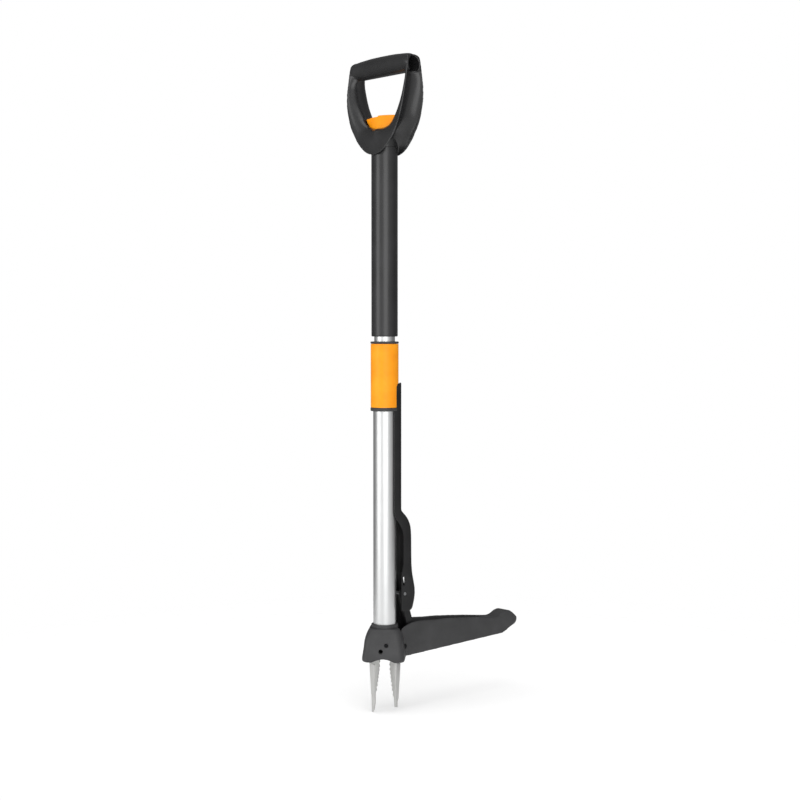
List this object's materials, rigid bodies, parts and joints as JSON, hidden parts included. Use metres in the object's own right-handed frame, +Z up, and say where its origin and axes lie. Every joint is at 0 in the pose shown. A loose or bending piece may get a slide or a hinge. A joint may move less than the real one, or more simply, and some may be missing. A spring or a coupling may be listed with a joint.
{
  "type": "long-handled weed puller",
  "caption": "Stand-up weed puller: D-handle with a lock button, telescoping shaft, foot pedal, hinged steel claws and a sliding orange ejector sleeve.",
  "frame": {"origin": "middle of the tool's box on the level of the lowest claw tips", "axes": "+Z up the shaft to the D-handle, +X from the shaft towards the pedal's tip, Y across the D-handle"},
  "size_m": [0.315, 0.14, 0.9849],
  "materials": {
    "charcoal_moulding": "fine-grained glass-filled nylon, charcoal",
    "black_moulding": "fine-grained glass-filled nylon, black",
    "black_tube": "smooth satin tube, near black",
    "orange_moulding": "smooth satin moulding, orange",
    "bright_tube": "drawn and anodised aluminium tube",
    "claw_stainless": "pressed stainless sheet, tumbled",
    "plain_steel": "zinc plated steel",
    "natural_nylon": "unpigmented nylon"
  },
  "bodies": {
    "shaft": {"lower_tube": "bright_tube", "end_bush": "charcoal_moulding", "shaft_foot": "charcoal_moulding", "foot_pin": "plain_steel", "plunger_pin": "plain_steel"},
    "telescope": {"d_handle": "charcoal_moulding", "upper_tube": "black_tube", "inner_tube": "bright_tube", "lock_collet": "natural_nylon", "button_spring": "plain_steel"},
    "button": {"lock_button": "orange_moulding", "lock_rod": "plain_steel", "lock_wedge": "black_moulding"},
    "pedal": {"pedal_housing": "charcoal_moulding", "pivot_pin": "plain_steel", "link_pin_foot": "plain_steel", "claw_carrier": "black_moulding", "claw_pin_front": "plain_steel", "claw_pin_rear": "plain_steel", "claw_pin_left": "plain_steel", "claw_pin_right": "plain_steel", "carrier_screw_1": "plain_steel", "carrier_screw_2": "plain_steel"},
    "plunger": {"plunger": "black_moulding"},
    "claw_front": {"claw_front": "claw_stainless"},
    "claw_rear": {"claw_rear": "claw_stainless"},
    "claw_left": {"claw_left": "claw_stainless"},
    "claw_right": {"claw_right": "claw_stainless"},
    "ejector": {"ejector_sleeve": "orange_moulding", "sleeve_top_ring": "charcoal_moulding", "sleeve_bottom_ring": "charcoal_moulding", "ejector_rod": "black_moulding", "rod_screw": "plain_steel", "link_pin_top": "plain_steel"},
    "link": {"ejector_link": "black_moulding"}
  },
  "joints": [
    {"name": "telescope_slide", "type": "slide", "parent": "shaft", "child": "telescope", "axis": [0, 0, 1], "range_m": [0, 0.2]},
    {"name": "button_press", "type": "slide", "parent": "telescope", "child": "button", "axis": [0, 0, -1], "range_m": [0, 0.0045], "stiffness_N_per_m": 700, "springref_m": -0.01, "deforming": ["button_spring"]},
    {"name": "shaft_lean", "type": "hinge", "parent": "shaft", "child": "pedal", "pos_m": [-0.09206, 0, 0.097], "axis": [0, -1, 0], "range_deg": [0, 12]},
    {"name": "plunger_lift", "type": "slide", "parent": "pedal", "child": "plunger", "axis": [0, 0, 1], "range_m": [0, 0.0051]},
    {"name": "claw_front_swing", "type": "hinge", "parent": "pedal", "child": "claw_front", "pos_m": [-0.14606, 0, 0.084], "axis": [0, -1, 0], "range_deg": [0, 13.3]},
    {"name": "claw_rear_swing", "type": "hinge", "parent": "pedal", "child": "claw_rear", "pos_m": [-0.08606, 0, 0.084], "axis": [0, 1, 0], "range_deg": [0, 13.3]},
    {"name": "claw_left_swing", "type": "hinge", "parent": "pedal", "child": "claw_left", "pos_m": [-0.11606, 0.03, 0.084], "axis": [-1, 0, 0], "range_deg": [0, 13.3]},
    {"name": "claw_right_swing", "type": "hinge", "parent": "pedal", "child": "claw_right", "pos_m": [-0.11606, -0.03, 0.084], "axis": [1, 0, 0], "range_deg": [0, 13.3]},
    {"name": "ejector_slide", "type": "slide", "parent": "shaft", "child": "ejector", "axis": [0, 0, 1], "range_m": [0, 0.0051]},
    {"name": "link_swing", "type": "hinge", "parent": "ejector", "child": "link", "pos_m": [-0.09206, 0, 0.177], "axis": [0, 1, 0], "range_deg": [0, 3.4]}
  ],
  "couplings": [
    {"joint": "plunger_lift", "follows": "shaft_lean", "m_per_rad": 0.023825},
    {"joint": "claw_front_swing", "follows": "shaft_lean", "ratio": 1.0925},
    {"joint": "claw_rear_swing", "follows": "shaft_lean", "ratio": 1.0925},
    {"joint": "claw_left_swing", "follows": "shaft_lean", "ratio": 1.0925},
    {"joint": "claw_right_swing", "follows": "shaft_lean", "ratio": 1.0925},
    {"joint": "ejector_slide", "follows": "shaft_lean", "m_per_rad": 0.023579},
    {"joint": "link_swing", "follows": "shaft_lean", "ratio": 0.27395}
  ]
}
